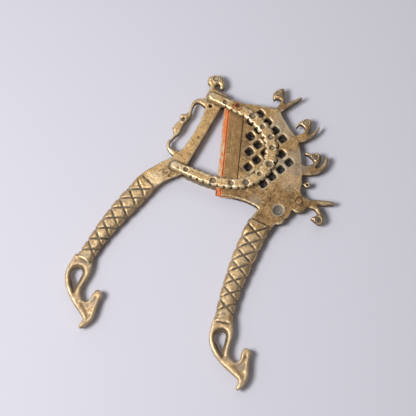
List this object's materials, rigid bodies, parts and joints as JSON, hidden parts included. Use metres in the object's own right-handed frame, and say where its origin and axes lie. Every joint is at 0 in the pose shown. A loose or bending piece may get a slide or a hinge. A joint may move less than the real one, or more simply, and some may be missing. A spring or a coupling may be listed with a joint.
{
  "type": "betel nut cutter",
  "caption": "Cast-brass nut cutter: bar lever and steel-edged blade lever on a pivot between horseshoe guards, with lattice plate, rim peacocks and bird-ended grips.",
  "frame": {"origin": "pivot axis where it meets the face that the cutter rests on, the underside of the back guard and rove", "axes": "+Z along the pivot axis towards the front guard, +Y from the grips towards the pivot, +X from the bar lever towards the rim of the lattice plate"},
  "size_m": [0.1606, 0.1941, 0.012],
  "materials": {
    "cast_brass": "cast, filed and worn, dark patina in the recesses",
    "blade_steel": "forged steel with an orange film of rust and worn pale patches",
    "pivot_iron": "dark iron with rust",
    "brass_wire": "wire pins filed flush"
  },
  "bodies": {
    "bar_side": {"bar_lever": "cast_brass", "front_guard": "cast_brass", "back_guard": "cast_brass", "pivot_rivet": "pivot_iron", "pivot_rove_front": "pivot_iron", "pivot_rove_back": "pivot_iron", "guard_rivet_upper": "brass_wire", "guard_rivet_lower": "brass_wire"},
    "blade_side": {"blade_lever": "cast_brass", "cutting_blade": "blade_steel", "blade_rivet_upper": "brass_wire", "blade_rivet_middle": "brass_wire", "blade_rivet_lower": "brass_wire"}
  },
  "joints": [
    {"name": "blade_hinge", "type": "hinge", "parent": "bar_side", "child": "blade_side", "pos_m": [0, 0, 0.0057], "axis": [0, 0, 1], "range_deg": [-23.8, 90]}
  ]
}
